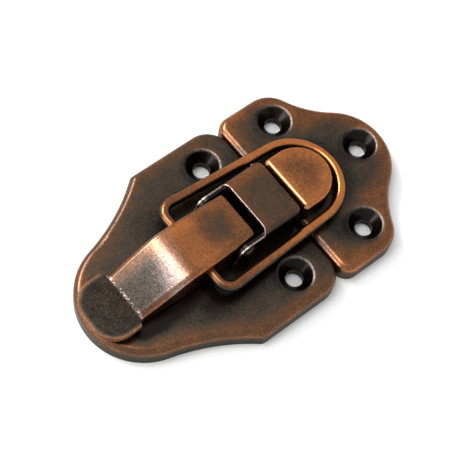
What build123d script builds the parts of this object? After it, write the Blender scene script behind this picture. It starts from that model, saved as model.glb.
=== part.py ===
"""Toggle latch pressed from sheet: base plate with folded bracket, pivot pin, thumb lever, wire bail, strike plate.

Frame: X runs along the latch towards the strike tip, Y across it, Z up off the mounting face.
The origin is the middle of the footprint on the mounting face. All sizes are in millimetres.
The latch is drawn closed, with the bail hooked over the keeper.
"""
from build123d import *
import math
import os

os.makedirs("parts", exist_ok=True)

# Two places closer than this count as one when an edge or corner is picked; no rounding is smaller than the second
near = 0.01
least_round = 0.2

# Sheet and the two skirted plates
sheet = 0.9
plate_height = 4.0
edge_round = 1.5
base_length = 45.9
base_width = 41.4
strike_length = 26.5
strike_step = 0.3

# Dimpled screw holes, placed from the seam or from the nearest end
hole_diameter = 3.5
sink_diameter = 7.0
sink_angle = 82.0
sink_lip = 0.8
dimple_lift = 0.3
base_hole_back = 7.7
base_hole_pitch = 28.6
tail_hole_inset = 9.4
strike_hole_back = 10.4
strike_hole_pitch = 28.0
tip_hole_inset = 5.4

# Base outline: round tail, hollow waist, shoulder, straight side
tail_radius = 13.0
tail_leave = 15.0
shoulder_back = 20.4
shoulder_round = 1.5
base_corner = 5.0

# Strike outline: two corner lobes and a broad round tip with hollow waists between them
strike_corner = 3.0
lobe_radius = 6.0
lobe_back = 10.0
tip_radius = 11.3
strike_waist = 20.0

# Keeper boss drawn up from the strike plate
keeper_width = 13.0
keeper_setback = 0.45
keeper_length = 10.35
keeper_rise = 5.0
keeper_round = 1.1

# Bracket folded up and back over from the front edge of the base plate
bracket_width = 13.2
bracket_setback = 0.7
bracket_bend = 1.2
corner_slit = 0.8
web_length = 8.6
web_rise = 7.0
web_corner = 2.2
web_edge_round = 0.2
ear_wall = 1.3
ear_foot = 1.0

# Pivot pin, riveted over outside the ears
pin_diameter = 2.2
pin_play = 0.05
pin_back = 2.35
pin_rise = 3.5
head_lip = 0.7
head_height = 0.8

# Lever
heel_gap = 1.95
heel_side_gap = 0.55
lever_drop = 0.2
lever_bow = 0.55
neck_spread = 0.1
lever_bend = 1.2
heel_bend = 0.45
lip_depth = 2.0
flange_gap = 0.5
fold_one_back = 16.05
fold_one_round = 9.0
fold_two_rise = 2.8
tab_inset = 0.0
tab_length = 8.3
tab_end_rise = 2.2
tab_width = 13.3
tab_corner = 5.0
tab_edge = 0.25
tab_shoulder = 1.1

# Bail
wire_diameter = 2.1
wire_play = 0.06
wire_lift = 0.65
bail_back = 10.55
bail_rise = 3.4
bail_gap = 0.85
bail_side_gap = 1.4
bail_flare = 3.4
bail_corner = 2.6
bail_reach = 1.2

# Places that follow from the sizes above; the plates meet at seam_x
seam_x = (base_length - strike_length) / 2
tail_end_x = seam_x - base_length
tip_end_x = seam_x + strike_length
base_half = base_width / 2
strike_half = base_half - strike_step
hole_radius = hole_diameter / 2
sink_radius = sink_diameter / 2
base_holes = [(seam_x - base_hole_back, base_hole_pitch / 2),
              (seam_x - base_hole_back, -base_hole_pitch / 2),
              (tail_end_x + tail_hole_inset, 0)]
strike_holes = [(seam_x + strike_hole_back, strike_hole_pitch / 2),
                (seam_x + strike_hole_back, -strike_hole_pitch / 2),
                (tip_end_x - tip_hole_inset, 0)]
keeper_half = keeper_width / 2
keeper_front = seam_x + keeper_setback
keeper_end = keeper_front + keeper_length
keeper_top = plate_height + keeper_rise
bracket_half = bracket_width / 2
bracket_front = seam_x - bracket_setback
web_edge = bracket_front - web_length
web_top = plate_height + web_rise
heel_x = web_edge - heel_gap
pin_radius = pin_diameter / 2
pin_x = heel_x - pin_back
pin_z = plate_height + pin_rise
ear_radius = pin_radius + ear_wall
ear_end = pin_x - ear_radius - ear_foot
wire_radius = wire_diameter / 2
bail_hole_x = heel_x - bail_back
bail_hole_z = plate_height + bail_rise
inner_round = max(edge_round - sheet, least_round)

# Base plate outline
leave = math.radians(tail_leave)
tail_centre_x = tail_end_x + tail_radius
tail_left_x = tail_centre_x - tail_radius * math.sin(leave)
tail_left_y = tail_radius * math.cos(leave)
shoulder_x = seam_x - shoulder_back
with BuildSketch() as base_outline:
    with BuildLine():
        Line((seam_x, -base_half), (seam_x, base_half))
        Line((seam_x, base_half), (shoulder_x, base_half))
        TangentArc((tail_left_x, tail_left_y), (shoulder_x, base_half), tangent=(math.cos(leave), math.sin(leave)))
        ThreePointArc((tail_left_x, tail_left_y), (tail_end_x, 0), (tail_left_x, -tail_left_y))
        TangentArc((tail_left_x, -tail_left_y), (shoulder_x, -base_half),
                   tangent=(math.cos(leave), -math.sin(leave)))
        Line((shoulder_x, -base_half), (seam_x, -base_half))
    make_face()
    fillet(base_outline.vertices().group_by(Axis.X)[-1], base_corner)
    fillet(base_outline.vertices().filter_by_position(Axis.X, shoulder_x - near, shoulder_x + near), shoulder_round)

with BuildSketch() as base_inside:
    add(base_outline.sketch)
    offset(amount=-sheet, mode=Mode.REPLACE)

with BuildPart() as base_core:
    extrude(base_inside.sketch, amount=plate_height - sheet)
    fillet(base_core.faces().sort_by(Axis.Z)[-1].edges(), inner_round)

# Skirted tray of the base plate with its dimpled, countersunk screw holes
with BuildPart() as base_tray:
    extrude(base_outline.sketch, amount=plate_height)
    fillet(base_tray.faces().sort_by(Axis.Z)[-1].edges(), edge_round)
    add(base_core.part, mode=Mode.SUBTRACT)
    with Locations(*[(x, y, dimple_lift) for x, y in base_holes]):
        Cone(hole_radius + sheet, sink_radius + sheet, plate_height - sheet / 2 - dimple_lift,
             align=(Align.CENTER, Align.CENTER, Align.MIN))
    with Locations(*[(x, y, plate_height) for x, y in base_holes]):
        CounterSinkHole(hole_radius, sink_radius, counter_sink_angle=sink_angle)
    fillet(base_tray.edges().filter_by(GeomType.CIRCLE).filter_by(
        lambda e: abs(e.radius - sink_radius) < near and abs(e.center().Z - plate_height) < near), sink_lip)

# Rear cut of the bracket: it leaves the two ears, and its front corners are round where the web runs down into them
with BuildPart() as rear_cut:
    with BuildSketch(Plane.XZ):
        with BuildLine():
            Polyline((web_edge, 2 * web_top), (web_edge, pin_z + ear_radius), (pin_x, pin_z + ear_radius))
            RadiusArc((pin_x, pin_z + ear_radius), (pin_x - ear_radius, pin_z), -ear_radius)
            Polyline((pin_x - ear_radius, pin_z), (ear_end, plate_height), (ear_end - ear_foot, plate_height),
                     (ear_end - ear_foot, 2 * web_top), (web_edge, 2 * web_top))
        make_face()
    extrude(amount=bracket_width, both=True)
    with BuildSketch() as notch:
        with Locations((web_edge, 0)):
            Rectangle(bracket_width, bracket_width + web_corner / 5, align=(Align.MAX, Align.CENTER))
        fillet(notch.vertices().group_by(Axis.X)[-1], web_corner)
    extrude(amount=2 * web_top, mode=Mode.INTERSECT)

# Bracket: a block rounded like folded sheet, hollowed, its rear cut down to the two ears
with BuildPart() as bracket:
    with BuildSketch(Plane.XY.offset(plate_height - sheet / 2)):
        with Locations((bracket_front, 0)):
            Rectangle(bracket_front - ear_end, bracket_width, align=(Align.MAX, Align.CENTER))
    extrude(amount=web_rise + sheet / 2)
    fillet(bracket.edges().filter_by(Axis.X).group_by(Axis.Z)[-1]
           + bracket.edges().filter_by(Axis.Y).group_by(Axis.Z)[-1].sort_by(Axis.X)[-1:]
           + bracket.edges().filter_by(Axis.Z).group_by(Axis.X)[-1], bracket_bend)
    with BuildSketch(Plane.XY.offset(plate_height - sheet)):
        with Locations((bracket_front - sheet, 0)):
            Rectangle(2 * (bracket_front - ear_end), bracket_width - 2 * sheet, align=(Align.MAX, Align.CENTER))
    extrude(amount=web_rise, mode=Mode.SUBTRACT)
    add(rear_cut.part, mode=Mode.SUBTRACT)
    fillet(bracket.edges().group_by(Axis.Z)[-1].filter_by(lambda e: e.center().X < web_edge + near), web_edge_round)
    with BuildSketch(Plane.XY.offset(plate_height)):
        with Locations((bracket_front - bracket_bend, bracket_half), (bracket_front - bracket_bend, -bracket_half)):
            Rectangle(corner_slit, 2 * sheet, align=(Align.MAX, Align.CENTER))
    extrude(amount=web_rise - bracket_bend - sheet, mode=Mode.SUBTRACT)

with BuildPart() as base_plate:
    add(base_tray.part)
    add(bracket.part)
    with Locations(Location((pin_x, 0, pin_z), (90, 0, 0))):
        Cylinder(pin_radius + pin_play, 2 * bracket_width, mode=Mode.SUBTRACT)
base_plate.part.label = "base_plate"
export_step(base_plate.part, "parts/base_plate.step")

# Pivot pin: plain shank with a domed rivet head bearing on each ear
head_radius = pin_radius + head_lip
head_edge = bracket_half + head_height
dome_radius = (head_radius ** 2 + head_height ** 2) / (2 * head_height)
dome_angle = math.asin(min(head_radius / dome_radius, 1)) / 2
dome_x = dome_radius * math.sin(dome_angle)
dome_y = head_edge - dome_radius * (1 - math.cos(dome_angle))
with BuildPart() as pivot_pin:
    with BuildSketch(Plane(origin=(pin_x, 0, pin_z))):
        with BuildLine():
            Line((0, -head_edge), (0, head_edge))
            ThreePointArc((0, head_edge), (dome_x, dome_y), (head_radius, bracket_half))
            Polyline((head_radius, bracket_half), (pin_radius, bracket_half),
                     (pin_radius, -bracket_half), (head_radius, -bracket_half))
            ThreePointArc((head_radius, -bracket_half), (dome_x, -dome_y), (0, -head_edge))
        make_face()
    revolve(axis=Axis((pin_x, 0, pin_z), (0, 1, 0)))
pivot_pin.part.label = "pivot_pin"
export_step(pivot_pin.part, "parts/pivot_pin.step")

# Lever plan: it fits between the ears and bows out a little between heel and neck
heel_half = bracket_half - sheet - heel_side_gap
middle_half = heel_half + lever_bow
neck_half = heel_half + neck_spread
tab_end_x = tail_end_x + tab_inset
fold_two_x = tab_end_x + tab_length
lever_middle_x = (heel_x + fold_two_x) / 2
with BuildSketch() as lever_plan:
    with BuildLine():
        Line((heel_x, -heel_half), (heel_x, heel_half))
        ThreePointArc((heel_x, heel_half), (lever_middle_x, middle_half), (fold_two_x, neck_half))
        Line((fold_two_x, neck_half), (fold_two_x, -neck_half))
        ThreePointArc((fold_two_x, -neck_half), (lever_middle_x, -middle_half), (heel_x, -heel_half))
    make_face()

with BuildSketch() as lever_inside:
    add(lever_plan.sketch)
    offset(amount=-sheet, mode=Mode.REPLACE)
    with Locations((heel_x - 2 * sheet, 0)):
        Rectangle(4 * sheet, 2 * (heel_half - sheet), align=(Align.MIN, Align.CENTER))
    with Locations((fold_two_x + 2 * sheet, 0)):
        Rectangle(4 * sheet, 2 * (neck_half - sheet), align=(Align.MAX, Align.CENTER))

# Lever channel: side profile cut to the plan, with the pivot lug rounded clear of the plate
lever_top = web_top - lever_drop
lug_radius = pin_rise - flange_gap
flange_foot = pin_z - lug_radius
fold_one_x = heel_x - fold_one_back
fold_two_z = plate_height + fold_two_rise
slope = math.atan2(lever_top - fold_two_z, fold_one_x - fold_two_x)
with BuildPart() as channel:
    with BuildSketch(Plane.XZ) as channel_side:
        with BuildLine():
            Polyline((pin_x + lug_radius, pin_z), (pin_x + lug_radius, lever_top), (fold_one_x, lever_top),
                     (fold_two_x, fold_two_z), (fold_two_x, flange_foot), (pin_x, flange_foot))
            RadiusArc((pin_x, flange_foot), (pin_x + lug_radius, pin_z), -lug_radius)
        make_face()
        fillet(channel_side.vertices().filter_by_position(Axis.X, fold_one_x - near, fold_one_x + near),
               fold_one_round)
    extrude(amount=2 * bracket_width, both=True)
    extrude(lever_plan.sketch, amount=2 * lever_top, mode=Mode.INTERSECT)

# Room under the lever: the same profile one sheet further in, open below the heel lip
inner_top = lever_top - sheet
inner_fold_x = fold_one_x + sheet * math.tan(slope / 2)
inner_end_x = fold_two_x - 2 * sheet
inner_end_z = inner_top - (inner_fold_x - inner_end_x) * math.tan(slope)
with BuildPart() as channel_core:
    with BuildSketch(Plane.XZ) as core_side:
        with BuildLine():
            Polyline((heel_x + sheet, plate_height), (heel_x + sheet, lever_top - lip_depth),
                     (heel_x - sheet, lever_top - lip_depth), (heel_x - sheet, inner_top),
                     (inner_fold_x, inner_top), (inner_end_x, inner_end_z), (inner_end_x, plate_height),
                     close=True)
        make_face()
        fillet(core_side.vertices().filter_by_position(Axis.X, inner_fold_x - near, inner_fold_x + near),
               fold_one_round - sheet)
    extrude(amount=2 * bracket_width, both=True)
    extrude(lever_inside.sketch, amount=2 * lever_top, mode=Mode.INTERSECT)

# Thumb tab: a flat strip past the crease with a round end and shoulders that slope out from the neck
tab_half = tab_width / 2
tab_end_z = plate_height + tab_end_rise
tab_side_x = fold_two_x - tab_shoulder
root_x = fold_two_x + 2 * sheet
root_half = neck_half - lever_bend
with BuildPart() as tab:
    with BuildSketch(Plane.XZ):
        with BuildLine():
            Polyline((fold_two_x, fold_two_z), (tab_end_x, tab_end_z), (tab_end_x, tab_end_z - sheet),
                     (fold_two_x + sheet, fold_two_z - sheet), close=True)
        make_face()
    extrude(amount=tab_width, both=True)
    with BuildSketch() as tab_plan:
        with BuildLine():
            Polyline((tab_end_x, tab_half), (tab_side_x, tab_half), (fold_two_x, neck_half), (fold_two_x, root_half),
                     (root_x, root_half), (root_x, -root_half), (fold_two_x, -root_half), (fold_two_x, -neck_half),
                     (tab_side_x, -tab_half), (tab_end_x, -tab_half), close=True)
        make_face()
        fillet(tab_plan.vertices().group_by(Axis.X)[0], tab_corner)
    extrude(amount=2 * lever_top, mode=Mode.INTERSECT)
    fillet(tab.edges().filter_by(lambda e: e.center().X < tab_side_x - near and e.length > 2 * sheet), tab_edge)

with BuildPart() as lever:
    add(channel.part)
    upper_edges = lever.edges().filter_by(lambda e: e.center().Z > fold_two_z + sheet / 2)
    fillet(upper_edges.filter_by(lambda e: abs(e.center().Y) > heel_half + near), lever_bend)
    heel_edges = lever.edges().filter_by(lambda e: e.center().X > heel_x - near)
    fillet(heel_edges.filter_by(lambda e: e.center().Z > lever_top - near), heel_bend)
    add(channel_core.part, mode=Mode.SUBTRACT)
    add(tab.part)
    with Locations(Location((pin_x, 0, pin_z), (90, 0, 0))):
        Cylinder(pin_radius + pin_play, 2 * bracket_width, mode=Mode.SUBTRACT)
    with Locations(Location((bail_hole_x, 0, bail_hole_z), (90, 0, 0))):
        Cylinder(wire_radius + wire_play, 2 * bracket_width, mode=Mode.SUBTRACT)
lever.part.label = "lever"
export_step(lever.part, "parts/lever.step")

# Bail: a wire loop in a plane tilted from the lever holes down to the keeper, its ends turned into the lever
bail_far_x = keeper_end + bail_gap + wire_radius
bail_far_z = plate_height + wire_lift + wire_radius
bail_end_radius = keeper_half + bail_side_gap + wire_radius
flare = math.radians(bail_flare)
bail_span = math.hypot(bail_far_x - bail_hole_x, bail_far_z - bail_hole_z)
bend_u = bail_span - bail_end_radius + bail_end_radius * math.sin(flare)
bend_v = bail_end_radius * math.cos(flare)
corner_v = bend_v + bend_u * math.tan(flare)
setback = bail_corner * math.tan(math.radians(45) + flare / 2)
leg_u = setback * math.cos(flare)
leg_v = corner_v - setback * math.sin(flare)
turn_v = corner_v - setback
corner_reach = math.hypot(bail_corner, setback)
mid_u = bail_corner - bail_corner ** 2 / corner_reach
mid_v = turn_v + bail_corner * setback / corner_reach
end_v = heel_half - sheet - bail_reach
bail_plane = Plane(origin=(bail_hole_x, 0, bail_hole_z),
                   x_dir=(bail_far_x - bail_hole_x, 0, bail_far_z - bail_hole_z),
                   z_dir=(bail_hole_z - bail_far_z, 0, bail_far_x - bail_hole_x))
with BuildPart() as bail:
    with BuildLine(bail_plane) as wire_path:
        Line((0, -end_v), (0, -turn_v))
        ThreePointArc((0, -turn_v), (mid_u, -mid_v), (leg_u, -leg_v))
        Line((leg_u, -leg_v), (bend_u, -bend_v))
        ThreePointArc((bend_u, -bend_v), (bail_span, 0), (bend_u, bend_v))
        Line((bend_u, bend_v), (leg_u, leg_v))
        ThreePointArc((leg_u, leg_v), (mid_u, mid_v), (0, turn_v))
        Line((0, turn_v), (0, end_v))
    with BuildSketch(Plane(origin=wire_path.line @ 0, z_dir=wire_path.line % 0)):
        Circle(wire_radius)
    sweep(path=wire_path.line)
bail.part.label = "bail"
export_step(bail.part, "parts/bail.step")

# Strike plate outline: each waist arc touches its lobe circle and the tip circle from outside
lobe_x = seam_x + lobe_back
lobe_y = strike_half - lobe_radius
tip_centre_x = tip_end_x - tip_radius
centre_gap = math.hypot(lobe_x - tip_centre_x, lobe_y)
from_tip = tip_radius + strike_waist
from_lobe = lobe_radius + strike_waist
along = (from_tip ** 2 - from_lobe ** 2 + centre_gap ** 2) / (2 * centre_gap)
aside = math.sqrt(from_tip ** 2 - along ** 2)
unit_x = (lobe_x - tip_centre_x) / centre_gap
unit_y = lobe_y / centre_gap
waist_x = tip_centre_x + along * unit_x + aside * unit_y
waist_y = along * unit_y - aside * unit_x
tip_share = tip_radius / from_tip
lobe_share = lobe_radius / from_lobe
tip_touch = (tip_centre_x + tip_share * (waist_x - tip_centre_x), tip_share * waist_y)
lobe_touch = (lobe_x + lobe_share * (waist_x - lobe_x), lobe_y + lobe_share * (waist_y - lobe_y))
toward = math.atan2((tip_touch[1] + lobe_touch[1]) / 2 - waist_y, (tip_touch[0] + lobe_touch[0]) / 2 - waist_x)
waist_middle = (waist_x + strike_waist * math.cos(toward), waist_y + strike_waist * math.sin(toward))
lobe_turn = math.atan2(lobe_touch[1] - lobe_y, lobe_touch[0] - lobe_x)
lobe_angle = (math.pi / 2 + lobe_turn) / 2
lobe_middle = (lobe_x + lobe_radius * math.cos(lobe_angle), lobe_y + lobe_radius * math.sin(lobe_angle))
with BuildSketch() as strike_outline:
    with BuildLine():
        Line((seam_x, 0), (seam_x, strike_half))
        Line((seam_x, strike_half), (lobe_x, strike_half))
        ThreePointArc((lobe_x, strike_half), lobe_middle, lobe_touch)
        ThreePointArc(lobe_touch, waist_middle, tip_touch)
        ThreePointArc(tip_touch, (tip_end_x, 0), (tip_touch[0], -tip_touch[1]))
        ThreePointArc((tip_touch[0], -tip_touch[1]), (waist_middle[0], -waist_middle[1]),
                      (lobe_touch[0], -lobe_touch[1]))
        ThreePointArc((lobe_touch[0], -lobe_touch[1]), (lobe_middle[0], -lobe_middle[1]), (lobe_x, -strike_half))
        Line((lobe_x, -strike_half), (seam_x, -strike_half))
        Line((seam_x, -strike_half), (seam_x, 0))
    make_face()
    fillet(strike_outline.vertices().group_by(Axis.X)[0].group_by(Axis.Y)[0]
           + strike_outline.vertices().group_by(Axis.X)[0].group_by(Axis.Y)[-1], strike_corner)

with BuildSketch() as strike_inside:
    add(strike_outline.sketch)
    offset(amount=-sheet, mode=Mode.REPLACE)

with BuildPart() as strike_core:
    extrude(strike_inside.sketch, amount=plate_height - sheet)
    fillet(strike_core.faces().sort_by(Axis.Z)[-1].edges(), inner_round)

# Keeper boss: straight front, parallel sides, half-round end for the bail
keeper_centre = keeper_end - keeper_half
with BuildSketch() as keeper_outline:
    with BuildLine():
        Line((keeper_front, -keeper_half), (keeper_front, keeper_half))
        Line((keeper_front, keeper_half), (keeper_centre, keeper_half))
        ThreePointArc((keeper_centre, keeper_half), (keeper_end, 0), (keeper_centre, -keeper_half))
        Line((keeper_centre, -keeper_half), (keeper_front, -keeper_half))
    make_face()
    fillet(keeper_outline.vertices().group_by(Axis.X)[0], keeper_round)

with BuildSketch() as keeper_inside:
    add(keeper_outline.sketch)
    offset(amount=-sheet, mode=Mode.REPLACE)

with BuildPart() as keeper:
    extrude(keeper_outline.sketch, amount=keeper_top)
    fillet(keeper.faces().sort_by(Axis.Z)[-1].edges(), keeper_round)

# Strike plate: skirted tray, keeper boss open from below, dimpled screw holes
with BuildPart() as strike_plate:
    extrude(strike_outline.sketch, amount=plate_height)
    fillet(strike_plate.faces().sort_by(Axis.Z)[-1].edges(), edge_round)
    add(keeper.part)
    add(strike_core.part, mode=Mode.SUBTRACT)
    extrude(keeper_inside.sketch, amount=keeper_top - sheet, mode=Mode.SUBTRACT)
    with Locations(*[(x, y, dimple_lift) for x, y in strike_holes]):
        Cone(hole_radius + sheet, sink_radius + sheet, plate_height - sheet / 2 - dimple_lift,
             align=(Align.CENTER, Align.CENTER, Align.MIN))
    with Locations(*[(x, y, plate_height) for x, y in strike_holes]):
        CounterSinkHole(hole_radius, sink_radius, counter_sink_angle=sink_angle)
    fillet(strike_plate.edges().filter_by(GeomType.CIRCLE).filter_by(
        lambda e: abs(e.radius - sink_radius) < near and abs(e.center().Z - plate_height) < near), sink_lip)
strike_plate.part.label = "strike_plate"
export_step(strike_plate.part, "parts/strike_plate.step")
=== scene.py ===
# %% [markdown]
# # A toggle latch in antique copper
# The latch is four pressed and bent pieces of steel on a rivet: a base plate whose front edge is folded up
# into a bracket, a thumb lever, a wire bail and a strike plate. The solids come with their true shapes, so
# nothing is modelled here and this lesson is about the finish. Antique copper is a copper plating that is
# blackened all over and then tumbled, so that whatever stands proud is rubbed back to bright copper and
# whatever lies deep stays dark.

# %% Load the solids
import bpy
import math
from mathutils import Matrix, Vector

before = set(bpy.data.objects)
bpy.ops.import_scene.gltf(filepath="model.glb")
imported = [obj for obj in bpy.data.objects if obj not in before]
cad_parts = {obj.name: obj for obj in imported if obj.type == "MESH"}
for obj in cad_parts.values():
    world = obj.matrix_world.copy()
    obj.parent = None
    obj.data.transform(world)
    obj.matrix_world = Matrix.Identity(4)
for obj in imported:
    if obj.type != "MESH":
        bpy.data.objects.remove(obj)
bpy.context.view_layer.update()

# %% [markdown]
# ## The picture's frame
# The photograph looks down at the latch from the tail's side, a little rolled, through a long lens. A camera
# can be placed by eye, but here its place was found by laying the edges of the solids over the photograph.
# It is built from three directions, right, up and back, because the roll is then just one more turn.

# %% Directions of the camera
AZIMUTH = math.radians(-52.65)
ELEVATION = math.radians(62.94)
ROLL = math.radians(15.27)

level_back = Vector((math.sin(AZIMUTH), -math.cos(AZIMUTH), 0))
back = math.cos(ELEVATION) * level_back + Vector((0, 0, math.sin(ELEVATION)))
level_right = Vector((math.cos(AZIMUTH), math.sin(AZIMUTH), 0))
level_up = back.cross(level_right)
right = math.cos(ROLL) * level_right + math.sin(ROLL) * level_up
up = math.cos(ROLL) * level_up - math.sin(ROLL) * level_right
print("camera looks along:", [round(-part, 3) for part in back])

# %% Camera
LOOK_AT = Vector((-0.654, 0.07, 0.0)) / 1000
DISTANCE = 0.2712
FOCAL_PIXELS, FRAME_PIXELS = 1400, 470
SENSOR_MM = 36.0
CLIP_START, CLIP_END = 0.01, 20

bpy.ops.object.select_all(action="DESELECT")
bpy.ops.object.camera_add()
camera = bpy.context.object
camera.name = "photo_camera"
camera.data.sensor_width = SENSOR_MM
camera.data.lens = SENSOR_MM * FOCAL_PIXELS / FRAME_PIXELS
camera.data.clip_start = CLIP_START
camera.data.clip_end = CLIP_END
turned = Matrix((right, up, back)).transposed().to_4x4()
camera.matrix_world = Matrix.Translation(LOOK_AT + DISTANCE * back) @ turned
bpy.context.scene.camera = camera
print("lens in mm:", round(camera.data.lens, 1))

# %% [markdown]
# ## Helpers for colours and nodes
# Nodes can be placed and wired by hand in the shader editor. In a script each of them takes many lines, so
# one function adds a node of any kind with its settings, its fixed values and its links. The other function
# turns a colour as it looks on screen into the linear light that Blender reckons with.

# %% Colour and node helpers
def linear(screen_hex):
    # The constants are those of the sRGB standard.
    parts = [int(screen_hex[i:i + 2], 16) / 255 for i in (1, 3, 5)]
    light = [p / 12.92 if p <= 0.04045 else ((p + 0.055) / 1.055) ** 2.4 for p in parts]
    return (*light, 1.0)


def add(tree, kind, inputs=None, **settings):
    made = tree.nodes.new("ShaderNode" + kind)
    for name, value in settings.items():
        setattr(made, name, value)
    for key, value in (inputs or {}).items():
        # A Mix node has several sockets of one name, and only the enabled one counts.
        named = [s for s in made.inputs if s.enabled and s.name == key]
        socket = named[0] if named else made.inputs[key]
        if isinstance(value, bpy.types.Node):
            value = next(s for s in value.outputs if s.enabled)
        if isinstance(value, bpy.types.NodeSocket):
            tree.links.new(value, socket)
        else:
            socket.default_value = value
    return made


print("middle grey in linear light:", round(linear("#808080")[0], 3))

# %% [markdown]
# ## Floor
# The latch lies on white card. A curved backdrop would hide the horizon, but this camera looks down and sees
# none, so a flat plane is enough.

# %% Floor
FLOOR_SIZE, FLOOR_GAP = 6.0, 0.00002
# Uncoated card gives the eye an even white with soft shadows and no gleam.
CARD_WHITE, CARD_ROUGHNESS = "#f6f6f6", 0.9

bpy.ops.mesh.primitive_plane_add(size=FLOOR_SIZE, location=(0, 0, -FLOOR_GAP))
floor = bpy.context.object
floor.name = "white_card"
bpy.ops.object.transform_apply(location=True, rotation=True, scale=True)
card = bpy.data.materials.new("matt_white_card")
card.use_nodes = True
card_shader = card.node_tree.nodes["Principled BSDF"]
card_shader.inputs["Base Color"].default_value = linear(CARD_WHITE)
card_shader.inputs["Roughness"].default_value = CARD_ROUGHNESS
floor.data.materials.append(card)
print("floor:", floor.name)

# %% [markdown]
# ## Light
# The photograph was taken in a light tent: white all round, with brighter soft panels. An even white world
# gives the tent. The panels could be glowing planes, but area lamps are quieter in the render and metal
# mirrors them at their true size all the same. One hangs overhead towards the tail, where the lever's bend
# and slope mirror it, and weaker ones behind and at the left draw the bright lines along the rims.

# %% Lamps and surroundings
TENT_STRENGTH = 0.72
# Name, direction from the latch, distance and sides in metres, power in watts.
PANELS = [
    ("overhead_panel", (-0.20, 0.30, 0.93), 0.60, (0.24, 0.32), 1.4),
    ("back_panel", (-0.16, 0.73, 0.66), 0.70, (0.36, 0.10), 2.9),
    ("tail_panel", (-0.85, 0.28, 0.45), 0.70, (0.40, 0.25), 1.8),
]

world = bpy.data.worlds.new("light_tent")
bpy.context.scene.world = world
world.use_nodes = True
tent = world.node_tree.nodes["Background"]
tent.inputs["Color"].default_value = (1, 1, 1, 1)
tent.inputs["Strength"].default_value = TENT_STRENGTH
bpy.context.scene.view_settings.view_transform = "Standard"

for name, direction, reach, sides, watts in PANELS:
    aim = Vector(direction).normalized()
    bpy.ops.object.light_add(type="AREA", location=LOOK_AT + reach * aim)
    panel = bpy.context.object
    panel.name = name
    panel.data.shape = "RECTANGLE"
    panel.data.size, panel.data.size_y = sides
    panel.data.energy = watts
    panel.rotation_euler = aim.to_track_quat("Z", "Y").to_euler()
print("lamps:", [panel[0] for panel in PANELS])

# %% [markdown]
# ## Where the finish is worked out
# Antique copper gives the eye a warm near-black that turns to brown and to bright copper wherever the
# tumbling reached, with soft highlights. It could be painted on an image, but an image has one sharpness and
# has to be stored. Here every place on a piece gets one number, from 0 for the dark oxide to 1 for bare
# copper, which the piece works out from its own shape; some masks also lower it as painted shade or raise it
# as painted highlight. Places are in millimetres in the frame of the solids: X along the latch, Y across it
# and Z up off the mounting face. They belong to the piece itself, so the finish moves with it. Both halves
# of the latch are alike, so a place in plan is often X and the distance from the middle line, here called
# the side.

# %% Start of a copper material
MM_PER_METRE = 1000.0


def start_copper(name):
    material = bpy.data.materials.new(name)
    material.use_nodes = True
    tree = material.node_tree
    tree.nodes.clear()
    place = add(tree, "TexCoord")
    spot = {0: place.outputs["Object"], "Scale": MM_PER_METRE}
    spot = add(tree, "VectorMath", spot, operation="SCALE")
    split = add(tree, "SeparateXYZ", {0: spot})
    tilt = add(tree, "SeparateXYZ", {0: place.outputs["Normal"]})
    side = add(tree, "Math", {0: split.outputs["Y"]}, operation="ABSOLUTE")
    flat = add(tree, "CombineXYZ", {"X": split.outputs["X"], "Y": side})
    spots = {"spot": spot, "side": side, "flat": flat}
    spots["x"], spots["y"], spots["z"] = split.outputs
    spots["along"], spots["up"] = tilt.outputs["X"], tilt.outputs["Z"]
    return material, tree, spots


print("places are scaled by", MM_PER_METRE)

# %% [markdown]
# ## Masks
# A mask is a number that passes smoothly from one value to another over a band, such as from 3 to 5 mm off
# an edge. The first function makes one, and other masks may weaken it. The second does so round a point in
# plan. The last two measure how far a place lies within an arc or a round corner, since the rubbed bands
# follow the outlines. Blender has a Bevel node that finds edges by itself, but it costs time, works in one
# render engine only and can't tell one edge from another.

# %% Mask helpers
def mask(tree, measure, band, first=1.0, last=0.0, *others):
    ends = {"From Min": band[0], "From Max": band[1], "To Min": first, "To Max": last}
    made = add(tree, "MapRange", {"Value": measure, **ends}, interpolation_type="SMOOTHSTEP")
    for other in others:
        made = add(tree, "Math", {0: made, 1: other}, operation="MULTIPLY")
    return made


def patch(tree, spots, centre, band, first=1.0, last=0.0, *others):
    ends = {0: spots["flat"], 1: (*centre, 0.0)}
    reach = add(tree, "VectorMath", ends, operation="DISTANCE")
    return mask(tree, reach, band, first, last, *others)


def arc_gap(tree, spots, centre, radius, inside=True):
    ends = {0: spots["flat"], 1: (*centre, 0.0)}
    reach = add(tree, "VectorMath", ends, operation="DISTANCE")
    terms = {0: radius, 1: reach} if inside else {0: reach, 1: radius}
    return add(tree, "Math", terms, operation="SUBTRACT")


def corner_gap(tree, past, radius):
    past = add(tree, "VectorMath", {0: past, 1: (0.0, 0.0, 0.0)}, operation="MAXIMUM")
    reach = add(tree, "VectorMath", {0: past}, operation="LENGTH")
    return add(tree, "Math", {0: radius, 1: reach}, operation="SUBTRACT")


print("mask helpers:", [helper.__name__ for helper in (mask, patch, arc_gap, corner_gap)])
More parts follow.
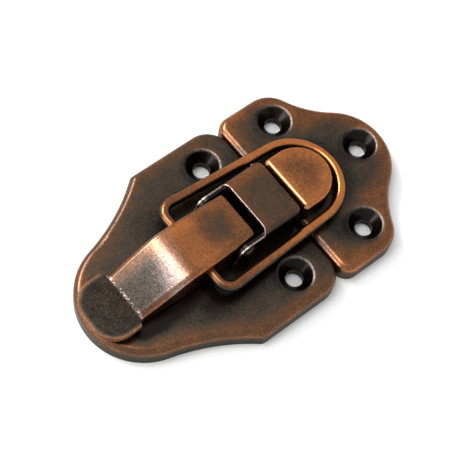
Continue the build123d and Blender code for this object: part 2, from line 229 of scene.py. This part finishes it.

# %% [markdown]
# ## From rubbing to colour
# This function turns the number into colour, roughness and relief. Clouds of 2.5 mm are the uneven work of
# the tumbling. The real pitting is finer than 0.1 mm and would not show, so it is drawn as grain of 0.34 mm.
# Both are weaker where the oxide is whole. A second number, the glint, mixes in pale metal: bare burnished
# metal on some edges, and a painted highlight on edges and bends, and the grain breaks it up. A metal keeps
# the default IOR. The specular tint dims what a steep wall mirrors, which keeps the skirts dark, and a thin
# coat is the lacquer.

# %% Values of the copper
CLOUD_MM, CLOUD_NOISE = 2.5, {"Detail": 4.0, "Roughness": 0.6}
GRAIN_MM, GRAIN_NOISE = 0.34, {"Detail": 2.0, "Roughness": 0.7}
CLOUD_DEPTH, GRAIN_DEPTH = 0.36, 0.85
OXIDE_BAND, OXIDE_MOTTLE = (0.0, 0.45), 0.45
COPPER_STEPS = [
    (0.0, "#150f0a"),
    (0.25, "#433a31"),
    (0.50, "#6a462c"),
    (0.75, "#9b5f38"),
    (1.0, "#cd7c40"),
]
# Pale metal for burnished places and for painted highlights.
PALE_BURNISH_AND_HIGHLIGHT = "#d9c6c0"
SPECKLE_BAND, SPECKLE_LEAST = (0.32, 0.65), 0.25
OXIDE_ROUGHNESS, COPPER_ROUGHNESS = 0.42, 0.20
RELIEF_STRENGTH, RELIEF_METRES = 0.30, 0.00003
STEEP_TINT = "#c8c0b8"
LACQUER, LACQUER_ROUGHNESS = 0.30, 0.18
print("copper steps:", len(COPPER_STEPS))


# %% End of a copper material
def end_copper(tree, spots, rub_and_painted_light, glint=0.0, lacquer=LACQUER):
    clouds = {"Vector": spots["spot"], "Scale": 1 / CLOUD_MM, **CLOUD_NOISE}
    clouds = add(tree, "TexNoise", clouds)
    grain = {"Vector": spots["spot"], "Scale": 1 / GRAIN_MM, **GRAIN_NOISE}
    grain = add(tree, "TexNoise", grain)
    clouded = {0: clouds, 1: CLOUD_DEPTH, 2: -CLOUD_DEPTH / 2}
    clouded = add(tree, "Math", clouded, operation="MULTIPLY_ADD")
    grained = {0: grain, 1: GRAIN_DEPTH, 2: -GRAIN_DEPTH / 2}
    grained = add(tree, "Math", grained, operation="MULTIPLY_ADD")
    mottle = add(tree, "Math", {0: clouded, 1: grained}, operation="ADD")
    mottle = mask(tree, rub_and_painted_light, OXIDE_BAND, OXIDE_MOTTLE, 1.0, mottle)
    # The rub number may carry painted shade and painted highlight from the masks of each piece.
    wear_and_painted_light = add(tree, "Math", {0: rub_and_painted_light, 1: mottle}, operation="ADD")

    ramp = add(tree, "ValToRGB", {"Fac": wear_and_painted_light})
    steps = ramp.color_ramp.elements
    while len(steps) < len(COPPER_STEPS):
        steps.new(0.5)
    for step, (position, shade) in zip(steps, COPPER_STEPS):
        step.position = position
        step.color = linear(shade)
    speckled = mask(tree, grain, SPECKLE_BAND, SPECKLE_LEAST, 1.0, glint)
    colour = {"Factor": speckled, "A": ramp, "B": linear(PALE_BURNISH_AND_HIGHLIGHT)}
    colour = add(tree, "Mix", colour, data_type="RGBA")

    rough = {"Value": wear_and_painted_light, "To Min": OXIDE_ROUGHNESS, "To Max": COPPER_ROUGHNESS}
    rough = add(tree, "MapRange", rough)
    relief = {"Height": grain, "Strength": RELIEF_STRENGTH, "Distance": RELIEF_METRES}
    relief = add(tree, "Bump", relief)
    metal = {"Base Color": colour, "Roughness": rough, "Normal": relief, "Metallic": 1.0}
    metal["Specular Tint"] = linear(STEEP_TINT)
    coat = {"Coat Weight": lacquer, "Coat Roughness": LACQUER_ROUGHNESS}
    shader = add(tree, "BsdfPrincipled", {**metal, **coat})
    add(tree, "OutputMaterial", {"Surface": shader})


def dress(name, material):
    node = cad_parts[name]
    node.data.materials.clear()
    node.data.materials.append(material)
    count = len(material.node_tree.nodes)
    print("finished:", name, "with", material.name, "of", count, "nodes")


# %% [markdown]
# ## Rims and screw holes of the plates
# Both plates are rubbed along their rims, over about 4 mm, and lie dark in the middle, and a faint painted
# highlight lies on the turn of the rim. The skirts below the rim stay darker again, partly because the
# tumbling stones slid past them and partly as painted shade. A countersink is a pit that kept all of its
# oxide, and painted shade darkens its surroundings on the tail's side, where the dimple mirrors darker
# surroundings. Its lip is rubbed, and a thin ring of painted highlight on it is brightest on the other side.
# There are six holes on two plates, so one function does this for any plate.

# %% Plate masks
PLATE_TOP = 4.0
RIM_BAND, MIDDLE_RUB = (0.4, 4.6), 0.24
SKIRT_BAND, SKIRT_WEAR_AND_SHADE = (PLATE_TOP - 1.9, PLATE_TOP - 0.7), 0.22
TURN_STARTS, TURN_ENDS = (0.50, 0.75), (0.90, 0.98)
TURN_BAND, TURN_GLINT = (1.0, 2.0), 0.04
SINK_WALL, SINK_LIP = 3.30, 3.87
LIP_WIDTH, LIP_RUB = 1.4, 0.15
PIT_SHADE_SHIFT, PIT_SHADE_BAND, PIT_SHADE_SHARE = 0.8, (3.4, 4.6), 0.35
RING_STARTS, RING_ENDS, RING_GLINT = (3.2, 3.5), (3.7, 4.0), 0.16
RING_DIM_X, RING_BRIGHT_X = -1.5, 2.5
RING_DIM, RING_BRIGHT = 0.10, 1.3


def plate_rub(tree, spots, edge_gap, rim_rub, holes):
    # The skirts are darker, partly less worn and partly painted shade.
    skirt = mask(tree, spots["z"], SKIRT_BAND, SKIRT_WEAR_AND_SHADE, 1.0)
    rub_and_painted_light = mask(tree, edge_gap, RIM_BAND, rim_rub, MIDDLE_RUB, skirt)
    # A faint painted highlight on the turn of the rim.
    turn_starts = mask(tree, spots["up"], TURN_STARTS, 0.0, 1.0)
    turn_ends = mask(tree, spots["up"], TURN_ENDS)
    glint = mask(tree, edge_gap, TURN_BAND, TURN_GLINT, 0.0, turn_starts, turn_ends)
    for hole in holes:
        # Painted shade: a ring round each hole, shifted to the tail's side, lowers the rubbing.
        pit_shade_centre = (hole[0] - PIT_SHADE_SHIFT, hole[1])
        ring_turn = (hole[0] + RING_DIM_X, hole[0] + RING_BRIGHT_X)
        lip = patch(tree, spots, hole, (SINK_LIP, SINK_LIP + LIP_WIDTH), LIP_RUB, 0.0)
        rub_and_painted_light = add(tree, "Math", {0: rub_and_painted_light, 1: lip}, operation="ADD")
        pit = patch(tree, spots, hole, (SINK_WALL, SINK_LIP), 0.0, 1.0)
        rub_and_painted_light = patch(tree, spots, pit_shade_centre, PIT_SHADE_BAND, PIT_SHADE_SHARE, 1.0, pit, rub_and_painted_light)
        # Painted highlight: a thin ring on each lip, brightest on the side away from the tail.
        ring_ends = patch(tree, spots, hole, RING_ENDS)
        ring_side = mask(tree, spots["x"], ring_turn, RING_DIM, RING_BRIGHT)
        ring = patch(tree, spots, hole, RING_STARTS, 0.0, RING_GLINT, ring_ends, ring_side)
        glint = add(tree, "Math", {0: glint, 1: ring}, operation="MAXIMUM")
    return rub_and_painted_light, glint


print("rim rubbed over", RIM_BAND, "mm")

# %% [markdown]
# ## Base plate: the rim
# The gap to the rim is the least of three: to the straight side, to the hollow waist and to the round tail,
# which counts only behind the place where the waist meets it. They are the lines and arcs that the solid was
# drawn with, so the rubbed band keeps an even width all along. The near rim, at low Y, was rubbed a little
# more than the far one.

# %% Base plate rim
BASE_HALF = 20.7
BASE_WAIST, BASE_WAIST_RADIUS = (-37.51, 53.41), 42.29
TAIL_CENTRE, TAIL_RADIUS, TAIL_STARTS_X = (-23.2, 0.0), 13.0, -26.57
FAR_AWAY = 100.0
BASE_HOLES = [(2.0, 14.3), (-26.8, 0.0)]
NEAR_TO_FAR, NEAR_RIM_RUB, FAR_RIM_RUB = (3.0, 13.0), 0.50, 0.43

base, tree, spots = start_copper("antique_copper_base")
side_gap = add(tree, "Math", {0: BASE_HALF, 1: spots["side"]}, operation="SUBTRACT")
waist_gap = arc_gap(tree, spots, BASE_WAIST, BASE_WAIST_RADIUS, inside=False)
tail_gap = arc_gap(tree, spots, TAIL_CENTRE, TAIL_RADIUS)
before_tail = add(tree, "Math", {0: spots["x"], 1: TAIL_STARTS_X}, operation="GREATER_THAN")
before_tail = add(tree, "Math", {0: before_tail, 1: FAR_AWAY}, operation="MULTIPLY")
tail_gap = add(tree, "Math", {0: tail_gap, 1: before_tail}, operation="ADD")
edge_gap = side_gap
for gap in (waist_gap, tail_gap):
    edge_gap = add(tree, "Math", {0: edge_gap, 1: gap}, operation="MINIMUM")
rim_rub = mask(tree, spots["y"], NEAR_TO_FAR, NEAR_RIM_RUB, FAR_RIM_RUB)
plate, plate_glint = plate_rub(tree, spots, edge_gap, rim_rub, BASE_HOLES)
print("base plate rim:", len(tree.nodes), "nodes")

# %% [markdown]
# ## Base plate: painted shade
# Between the legs of the bail and round the lever the plate lies in their shadow and mirrors their dark
# undersides, and it is almost black there. The shadow of the render alone leaves it too light, so two masks
# lower the rubbing as painted shade, of which the stronger counts.

# %% Base plate painted shade
PAINTED_SHADE_RUB = 0.34
BAIL_BAND, BAIL_REAR = (8.5, 16.0), (-22.0, -12.0)
BAIL_FAR_BAND, BAIL_FAR_SHARE = (-6.0, 6.0), 0.55
LEVER_NEAR, LEVER_FAR, LEVER_REAR = (-7.0, -10.5), (3.0, 6.5), (-32.0, -29.0)

# Painted shade under the bail and round the lever; the stronger mask counts.
bail_rear = mask(tree, spots["x"], BAIL_REAR, 0.0, 1.0)
bail_far = mask(tree, spots["y"], BAIL_FAR_BAND, 1.0, BAIL_FAR_SHARE)
shade_under_bail = mask(tree, spots["side"], BAIL_BAND, PAINTED_SHADE_RUB, 0.0, bail_rear, bail_far)
lever_far = mask(tree, spots["y"], LEVER_FAR)
lever_rear = mask(tree, spots["x"], LEVER_REAR, 0.0, 1.0)
shade_round_lever = mask(tree, spots["y"], LEVER_NEAR, PAINTED_SHADE_RUB, 0.0, lever_far, lever_rear)
painted_shade = add(tree, "Math", {0: shade_under_bail, 1: shade_round_lever}, operation="MAXIMUM")
plate = add(tree, "Math", {0: plate, 1: painted_shade}, operation="SUBTRACT")
print("base plate with shelter:", len(tree.nodes), "nodes")

# %% [markdown]
# ## Base plate: the web of the bracket
# The bracket is the same sheet, folded up from the plate. Its web is brown, and more copper along the far
# fold, the rear edge and the front corners, where the tumbling caught it. Its walls are dark. The way a face
# points tells web from wall, since only the web points up.

# %% Web
WEB_RUB, WALL_RUB, WEB_TURN = 0.33, 0.02, (0.3, 0.95)
FAR_FOLD, FAR_FOLD_RUB = (2.0, 5.6), 0.26
REAR_EDGE, REAR_EDGE_RUB = (0.8, 3.2), 0.10
WEB_CORNER, WEB_CORNER_BAND, WEB_CORNER_RUB = (8.5, 6.2), (0.5, 3.0), 0.14

far_fold = mask(tree, spots["y"], FAR_FOLD, 0.0, FAR_FOLD_RUB)
rear_edge = mask(tree, spots["x"], REAR_EDGE, REAR_EDGE_RUB, 0.0)
web_corner = patch(tree, spots, WEB_CORNER, WEB_CORNER_BAND, WEB_CORNER_RUB, 0.0)
web_rub = far_fold
for brighter in (rear_edge, web_corner):
    web_rub = add(tree, "Math", {0: web_rub, 1: brighter}, operation="MAXIMUM")
web_rub = add(tree, "Math", {0: web_rub, 1: WEB_RUB}, operation="ADD")
web = mask(tree, spots["up"], WEB_TURN, WALL_RUB, web_rub)
print("base plate with web:", len(tree.nodes), "nodes")

# %% [markdown]
# ## Base plate: the cut edges of the bracket
# The cut edges of the web and of both ears are sharp and were partly burnished by the tumbling, and a
# painted highlight makes them shine. They could have a material of their own, but they are narrow and fade
# into the walls, so masks find them instead. The web's cut faces the tail and lies high up. The ears' cuts
# face the tail or upwards, and only their outer arris shines. Above the plate the bracket's number counts,
# and below it the plate's.

# %% Cut edges and end of the base plate
WEB_TOP, WEB_EDGE_X, EAR_OUTSIDE = 11.0, 0.4, 6.6
WEB_CUT_TURN, WEB_CUT_BAND = (-0.15, -0.55), (WEB_TOP - 1.4, WEB_TOP - 1.0)
EAR_CUT_TURN, EAR_CUT_BAND = (0.4, 0.8), (EAR_OUTSIDE - 0.4, EAR_OUTSIDE - 0.1)
EARS_BEHIND = (WEB_EDGE_X - 0.4, WEB_EDGE_X - 0.9)
CUT_RUB, CUT_GLINT = 0.40, 0.75
BRACKET_RISE = (PLATE_TOP + 0.05, PLATE_TOP + 0.4)

web_height = mask(tree, spots["z"], WEB_CUT_BAND, 0.0, 1.0)
web_cut = mask(tree, spots["along"], WEB_CUT_TURN, 0.0, 1.0, web_height)
ear_turn = add(tree, "Math", {0: spots["up"], 1: spots["along"]}, operation="SUBTRACT")
ear_outside = mask(tree, spots["side"], EAR_CUT_BAND, 0.0, 1.0)
ear_cut = mask(tree, ear_turn, EAR_CUT_TURN, 0.0, 1.0, ear_outside)
on_ears = mask(tree, spots["x"], EARS_BEHIND, 0.0, 1.0)
off_ears = add(tree, "Math", {0: 1.0, 1: on_ears}, operation="SUBTRACT")
web = add(tree, "Math", {0: web, 1: off_ears}, operation="MULTIPLY")
cut = add(tree, "Mix", {"Factor": on_ears, "A": web_cut, "B": ear_cut})
# Painted highlight on the cut edges, over some rubbing.
cut_rub = add(tree, "Math", {0: cut, 1: CUT_RUB}, operation="MULTIPLY")
cut_glint = add(tree, "Math", {0: cut, 1: CUT_GLINT}, operation="MULTIPLY")
bracket = add(tree, "Math", {0: web, 1: cut_rub}, operation="MAXIMUM")
raised = mask(tree, spots["z"], BRACKET_RISE, 0.0, 1.0)
rub_and_painted_light = add(tree, "Mix", {"Factor": raised, "A": plate, "B": bracket})
glint = add(tree, "Mix", {"Factor": raised, "A": plate_glint, "B": cut_glint})
end_copper(tree, spots, rub_and_painted_light, glint)
dress("base_plate", base)

# %% [markdown]
# ## Strike plate: the rim
# Its outline is two corner lobes and a round tip with hollow waists between them, and a straight seam in
# front. A place lies on the plate when it is within a lobe or the tip, so the larger of those two gaps
# counts, and then the least of that, the waist and the seam.

# %% Strike plate rim
SEAM_X = 9.7
LOBE_CENTRE, LOBE_RADIUS = (19.7, 14.4), 6.0
STRIKE_WAIST, STRIKE_WAIST_RADIUS = (43.29, 25.33), 20.0
TIP_CENTRE, TIP_RADIUS = (24.9, 0.0), 11.3
STRIKE_HOLES = [(20.1, 14.0), (30.8, 0.0)]
STRIKE_RIM_RUB = 0.58

strike, tree, spots = start_copper("antique_copper_strike")
past_lobe = {0: spots["flat"], 1: (*LOBE_CENTRE, 0.0)}
past_lobe = add(tree, "VectorMath", past_lobe, operation="SUBTRACT")
lobe_gap = corner_gap(tree, past_lobe, LOBE_RADIUS)
tip_gap = arc_gap(tree, spots, TIP_CENTRE, TIP_RADIUS)
waist_gap = arc_gap(tree, spots, STRIKE_WAIST, STRIKE_WAIST_RADIUS, inside=False)
seam_gap = add(tree, "Math", {0: spots["x"], 1: SEAM_X}, operation="SUBTRACT")
edge_gap = add(tree, "Math", {0: lobe_gap, 1: tip_gap}, operation="MAXIMUM")
for gap in (waist_gap, seam_gap):
    edge_gap = add(tree, "Math", {0: edge_gap, 1: gap}, operation="MINIMUM")
plate, plate_glint = plate_rub(tree, spots, edge_gap, STRIKE_RIM_RUB, STRIKE_HOLES)
print("strike plate rim:", len(tree.nodes), "nodes")

# %% [markdown]
# ## Strike plate: darker and lighter places
# The front corners are lighter than the rest of the rim, and the front edge between them is darker, as
# painted shade of the wire. The middle round the keeper and a spot beside the wire on the near side are
# darkened as painted shade of the wire too. Chance clouds would fall anywhere, so each of these is a patch
# or a band with its own place, which is added or taken away.

# %% Strike plate patches
FRONT_CORNER, FRONT_CORNER_BAND, FRONT_CORNER_RUB = (10.5, 19.0), (3.0, 8.5), 0.14
MIDDLE_SHADE, MIDDLE_SHADE_BAND, MIDDLE_SHADE_RUB = (18.0, 0.0), (6.5, 10.5), 0.18
WIRE_SHADE, WIRE_SHADE_BAND, WIRE_SHADE_RUB = (14.5, 11.5), (1.5, 5.0), 0.16
NEAR_SIDE = (-3.0, 3.0)
FRONT_BAND, FRONT_SIDE, FRONT_RUB = (0.8, 3.0), (13.0, 18.0), 0.20
SEAM_BAND, SEAM_GLINT = (0.2, 1.2), 0.10

# Painted shade of the wire: the middle, a spot beside the wire and the front edge are darkened.
middle_shade = patch(tree, spots, MIDDLE_SHADE, MIDDLE_SHADE_BAND, MIDDLE_SHADE_RUB, 0.0)
near_side = mask(tree, spots["y"], NEAR_SIDE)
wire_shade = patch(tree, spots, WIRE_SHADE, WIRE_SHADE_BAND, WIRE_SHADE_RUB, 0.0, near_side)
front_side = mask(tree, spots["side"], FRONT_SIDE)
front_shade = mask(tree, seam_gap, FRONT_BAND, FRONT_RUB, 0.0, front_side)
for darker in (middle_shade, wire_shade, front_shade):
    plate = add(tree, "Math", {0: plate, 1: darker}, operation="SUBTRACT")
front_corner = patch(tree, spots, FRONT_CORNER, FRONT_CORNER_BAND, FRONT_CORNER_RUB, 0.0)
plate = add(tree, "Math", {0: plate, 1: front_corner}, operation="ADD")
# Painted highlight along the front seam edge.
seam_glint = mask(tree, seam_gap, SEAM_BAND, SEAM_GLINT, 0.0)
plate_glint = add(tree, "Math", {0: plate_glint, 1: seam_glint}, operation="MAXIMUM")
print("strike plate with patches:", len(tree.nodes), "nodes")

# %% [markdown]
# ## Strike plate: the keeper
# The keeper is a D-shaped boss drawn up out of the sheet. It stands highest and was rubbed most, above all
# round its edge, with a darker middle. Its sides are dark, and its front edge is rubbed brightest and
# carries a painted highlight. It is one sheet with the plate and shares its material, so it is told from the
# plate by its height.

# %% Keeper and end of the strike plate
KEEPER_CENTRE, KEEPER_HALF, KEEPER_FRONT_X = (14.0, 0.0), 6.5, 10.15
KEEPER_RUB, KEEPER_ROUND_RUB, KEEPER_FRONT_RUB_AND_HIGHLIGHT = 0.67, 0.88, 1.0
KEEPER_ROUND, KEEPER_FRONT = (0.5, 4.5), (0.5, 3.0)
KEEPER_MIDDLE, KEEPER_MIDDLE_BAND, KEEPER_MIDDLE_RUB = (16.2, 0.0), (0.5, 3.5), 0.14
KEEPER_TURN, KEEPER_SIDE_SHARE = (0.0, 0.6), 0.3
KEEPER_GLINT_BAND, KEEPER_GLINT = (0.4, 1.5), 0.22
KEEPER_RISE = (PLATE_TOP + 0.3, PLATE_TOP + 2.5)

round_gap = arc_gap(tree, spots, KEEPER_CENTRE, KEEPER_HALF)
front_gap = add(tree, "Math", {0: spots["x"], 1: KEEPER_FRONT_X}, operation="SUBTRACT")
keeper_round = mask(tree, round_gap, KEEPER_ROUND, KEEPER_ROUND_RUB, KEEPER_RUB)
# A wide bright band at the front edge, partly rubbing and partly painted highlight.
keeper_front = mask(tree, front_gap, KEEPER_FRONT, KEEPER_FRONT_RUB_AND_HIGHLIGHT, KEEPER_RUB)
keeper = add(tree, "Math", {0: keeper_round, 1: keeper_front}, operation="MAXIMUM")
middle = patch(tree, spots, KEEPER_MIDDLE, KEEPER_MIDDLE_BAND, KEEPER_MIDDLE_RUB, 0.0)
keeper = add(tree, "Math", {0: keeper, 1: middle}, operation="SUBTRACT")
keeper = mask(tree, spots["up"], KEEPER_TURN, KEEPER_SIDE_SHARE, 1.0, keeper)
# Painted highlight on the front edge.
keeper_glint = mask(tree, front_gap, KEEPER_GLINT_BAND, KEEPER_GLINT, 0.0)
raised = mask(tree, spots["z"], KEEPER_RISE, 0.0, 1.0)
rub_and_painted_light = add(tree, "Mix", {"Factor": raised, "A": plate, "B": keeper})
glint = add(tree, "Mix", {"Factor": raised, "A": plate_glint, "B": keeper_glint})
end_copper(tree, spots, rub_and_painted_light, glint)
dress("strike_plate", strike)

# %% [markdown]
# ## Lever: top and slope
# The flat top is copper brown, with a dark cloud near the heel and a brighter far half. It is a little
# duller just before the bend, and painted shade darkens it along the far side bend. The slope behind the
# bend is grey in the middle and copper at its sides, more widely so on the far side. One noise over the
# whole lever would miss this, because the wear follows the bends, so masks along X and across Y place it.

# %% Lever top and slope
FOLD_X = -17.6
TOP_BAND, HEEL_RUB, TOP_RUB = (-5.0, -12.0), 0.62, 0.78
HEEL_CLOUD, HEEL_CLOUD_BAND, HEEL_CLOUD_RUB = (-7.0, 0.0), (1.0, 5.2), 0.30
FAR_TOP, FAR_TOP_X, FAR_TOP_RUB = (1.5, 4.5), (-8.0, -12.0), 0.14
BEFORE_BEND, BEFORE_BEND_RUB = (-13.5, FOLD_X), 0.10
SIDE_BEND, SIDE_BEND_SHADE = (4.6, 5.2), 0.25
SLOPE_RUB, SLOPE_SIDE_RUB, SLOPE_FAR_RUB = 0.14, 0.60, 0.42
SLOPE_SIDES, SLOPE_FAR = (3.6, 5.2), (0.8, 4.4)
SLOPE_STARTS = (FOLD_X, FOLD_X - 3.5)

lever, tree, spots = start_copper("antique_copper_lever")
top = mask(tree, spots["x"], TOP_BAND, HEEL_RUB, TOP_RUB)
far_top = mask(tree, spots["x"], FAR_TOP_X, 0.0, 1.0)
far_top = mask(tree, spots["y"], FAR_TOP, 0.0, FAR_TOP_RUB, far_top)
top = add(tree, "Math", {0: top, 1: far_top}, operation="ADD")
before_bend = mask(tree, spots["x"], BEFORE_BEND, 0.0, BEFORE_BEND_RUB)
heel_cloud = patch(tree, spots, HEEL_CLOUD, HEEL_CLOUD_BAND, HEEL_CLOUD_RUB, 0.0)
# Painted shade along the far side bend.
side_bend_shade = mask(tree, spots["y"], SIDE_BEND, 0.0, SIDE_BEND_SHADE)
for darker in (before_bend, heel_cloud, side_bend_shade):
    top = add(tree, "Math", {0: top, 1: darker}, operation="SUBTRACT")
slope_sides = mask(tree, spots["side"], SLOPE_SIDES, SLOPE_RUB, SLOPE_SIDE_RUB)
slope_far = mask(tree, spots["y"], SLOPE_FAR, SLOPE_RUB, SLOPE_FAR_RUB)
slope = add(tree, "Math", {0: slope_sides, 1: slope_far}, operation="MAXIMUM")
on_slope = mask(tree, spots["x"], SLOPE_STARTS, 0.0, 1.0)
rub_and_painted_light = add(tree, "Mix", {"Factor": on_slope, "A": top, "B": slope})
print("lever top and slope:", len(tree.nodes), "nodes")

# %% [markdown]
# ## Lever: the thumb tab
# The tab beyond the crease is almost black, with a thin copper edge that follows its round corners. A darker
# oxide alone leaves it too grey, because the lacquer mirrors the white tent. So its lacquer is made thinner,
# and it looks darker and warmer than the slope.

# %% Lever tab
CREASE_X = -27.9
TAB_CORNER, TAB_CORNER_RADIUS = (-31.2, 1.65), 5.0
TAB_EDGE, TAB_EDGE_RUB, TAB_RUB = (0.1, 1.1), 0.48, 0.06
TAB_STARTS = (CREASE_X + 0.1, CREASE_X - 0.3)
TAB_LACQUER = 0.12

past_x = add(tree, "Math", {0: TAB_CORNER[0], 1: spots["x"]}, operation="SUBTRACT")
past_side = add(tree, "Math", {0: spots["side"], 1: TAB_CORNER[1]}, operation="SUBTRACT")
past_corner = add(tree, "CombineXYZ", {"X": past_x, "Y": past_side})
tab_gap = corner_gap(tree, past_corner, TAB_CORNER_RADIUS)
tab = mask(tree, tab_gap, TAB_EDGE, TAB_EDGE_RUB, TAB_RUB)
on_tab = mask(tree, spots["x"], TAB_STARTS, 0.0, 1.0)
rub_and_painted_light = add(tree, "Mix", {"Factor": on_tab, "A": rub_and_painted_light, "B": tab})
lacquer = mask(tree, on_tab, (0.0, 1.0), LACQUER, TAB_LACQUER)
print("lever with tab:", len(tree.nodes), "nodes")

# %% [markdown]
# ## Lever: the crease
# A painted highlight runs along the crease at the foot of the slope, where the tight bend mirrors the
# overhead panel, and shines in a broken line, most at both ends. A straight line of light would look drawn,
# so a noise of 0.45 mm breaks it into crumbs. The real crumbs are finer, and this is as coarse as they need
# to be to show.

# %% Lever crease
CRUMB_MM, CRUMB_NOISE = 0.45, {"Detail": 3.0, "Roughness": 0.7}
CRUMB_SIDES, MORE_CRUMBS = (3.0, 4.8), 0.14
CRUMB_BAND, CRUMB_GLINT = (0.50, 0.62), 0.75
CREASE_MIDDLE_X, CREASE_BAND = CREASE_X + 0.2, (0.05, 0.45)

crumbs = {"Vector": spots["spot"], "Scale": 1 / CRUMB_MM, **CRUMB_NOISE}
crumbs = add(tree, "TexNoise", crumbs)
more_crumbs = mask(tree, spots["side"], CRUMB_SIDES, 0.0, MORE_CRUMBS)
crumbs = add(tree, "Math", {0: crumbs, 1: more_crumbs}, operation="ADD")
crumb_glint = mask(tree, crumbs, CRUMB_BAND, 0.0, CRUMB_GLINT)
crease_gap = add(tree, "Math", {0: spots["x"], 1: CREASE_MIDDLE_X}, operation="SUBTRACT")
crease_gap = add(tree, "Math", {0: crease_gap}, operation="ABSOLUTE")
# Painted highlight along the crease, broken by crumbs.
crease = mask(tree, crease_gap, CREASE_BAND, 1.0, 0.0, crumb_glint)
print("lever with crease:", len(tree.nodes), "nodes")

# %% [markdown]
# ## Lever: the burnished bend
# The bend stands proud and is burnished through to bright metal, and a painted highlight lies over it, more
# so on the near side, and runs askew down the slope in loose flecks. A mask along X would run square across
# the lever, so a slanted measure of X gives the skew.

# %% Lever bend and end of the lever
BEND_SKEW, BEND_MIDDLE_X, BEND_BAND = -0.25, FOLD_X - 0.6, (0.2, 3.8)
BEND_ACROSS, BEND_NEAR_GLINT, BEND_FAR_GLINT = (-4.0, 5.0), 0.46, 0.24
FLECK_ALONG, FLECK_LOW_GLINT, FLECK_HIGH_GLINT = (FOLD_X - 7.0, FOLD_X - 1.5), 0.03, 0.12
FLECK_TOP, FLECK_BAND, FLECK_BOOST = (FOLD_X - 0.5, FOLD_X + 1.0), (0.42, 0.62), 1.2

skewed_x = {0: spots["y"], 1: BEND_SKEW, 2: spots["x"]}
skewed_x = add(tree, "Math", skewed_x, operation="MULTIPLY_ADD")
bend_gap = add(tree, "Math", {0: skewed_x, 1: BEND_MIDDLE_X}, operation="SUBTRACT")
bend_gap = add(tree, "Math", {0: bend_gap}, operation="ABSOLUTE")
bend_across = mask(tree, spots["y"], BEND_ACROSS, BEND_NEAR_GLINT, BEND_FAR_GLINT)
# Burnish and painted highlight over the bend, stronger on the near side.
bend = mask(tree, bend_gap, BEND_BAND, 1.0, 0.0, bend_across)
fleck_top = mask(tree, spots["x"], FLECK_TOP)
fleck = mask(tree, crumbs, FLECK_BAND, 0.0, FLECK_BOOST)
off_tab = add(tree, "Math", {0: 1.0, 1: on_tab}, operation="SUBTRACT")
flecks = (FLECK_LOW_GLINT, FLECK_HIGH_GLINT, fleck_top, fleck, off_tab)
# Painted highlight in flecks down the slope.
flecks = mask(tree, skewed_x, FLECK_ALONG, *flecks)
glint = crease
for brighter in (bend, flecks):
    glint = add(tree, "Math", {0: glint, 1: brighter}, operation="MAXIMUM")
end_copper(tree, spots, rub_and_painted_light, glint, lacquer)
dress("lever", lever)

# %% [markdown]
# ## Bail
# The wire was rubbed along its upper side, most of all at the round end that hooks the keeper, and its lower
# side is dark, partly kept oxide and partly painted shade where the light from above does not reach. Height
# alone would not do, since the legs slope, so the way a place points tells the upper side from the lower.

# %% Bail finish
WIRE_ALONG, WIRE_REAR_RUB, WIRE_FRONT_RUB = (-11.0, 14.0), 0.62, 0.98
WIRE_TURN, WIRE_SHADED_RUB = (0.35, 0.95), 0.12

bail, tree, spots = start_copper("antique_copper_bail")
wire_top = mask(tree, spots["x"], WIRE_ALONG, WIRE_REAR_RUB, WIRE_FRONT_RUB)
# Painted shade on the underside of the wire, over kept oxide.
rub_and_painted_light = mask(tree, spots["up"], WIRE_TURN, WIRE_SHADED_RUB, wire_top)
end_copper(tree, spots, rub_and_painted_light)
dress("bail", bail)

# %% [markdown]
# ## Pivot pin
# The heads sit beside the ears, out of reach of the tumbling, and only the outermost part of each dome shows
# copper, partly worn and partly as a painted highlight for the bright crescent on each head. The distance
# from the middle line is all that the mask needs.

# %% Pin finish
HEAD_BAND, SHANK_RUB, DOME_COPPER_AND_HIGHLIGHT = (6.6, 7.3), 0.05, 0.38

pin, tree, spots = start_copper("antique_copper_pin")
# Copper on the outer dome, partly wear and partly painted highlight.
rub_and_painted_light = mask(tree, spots["side"], HEAD_BAND, SHANK_RUB, DOME_COPPER_AND_HIGHLIGHT)
end_copper(tree, spots, rub_and_painted_light)
dress("pivot_pin", pin)
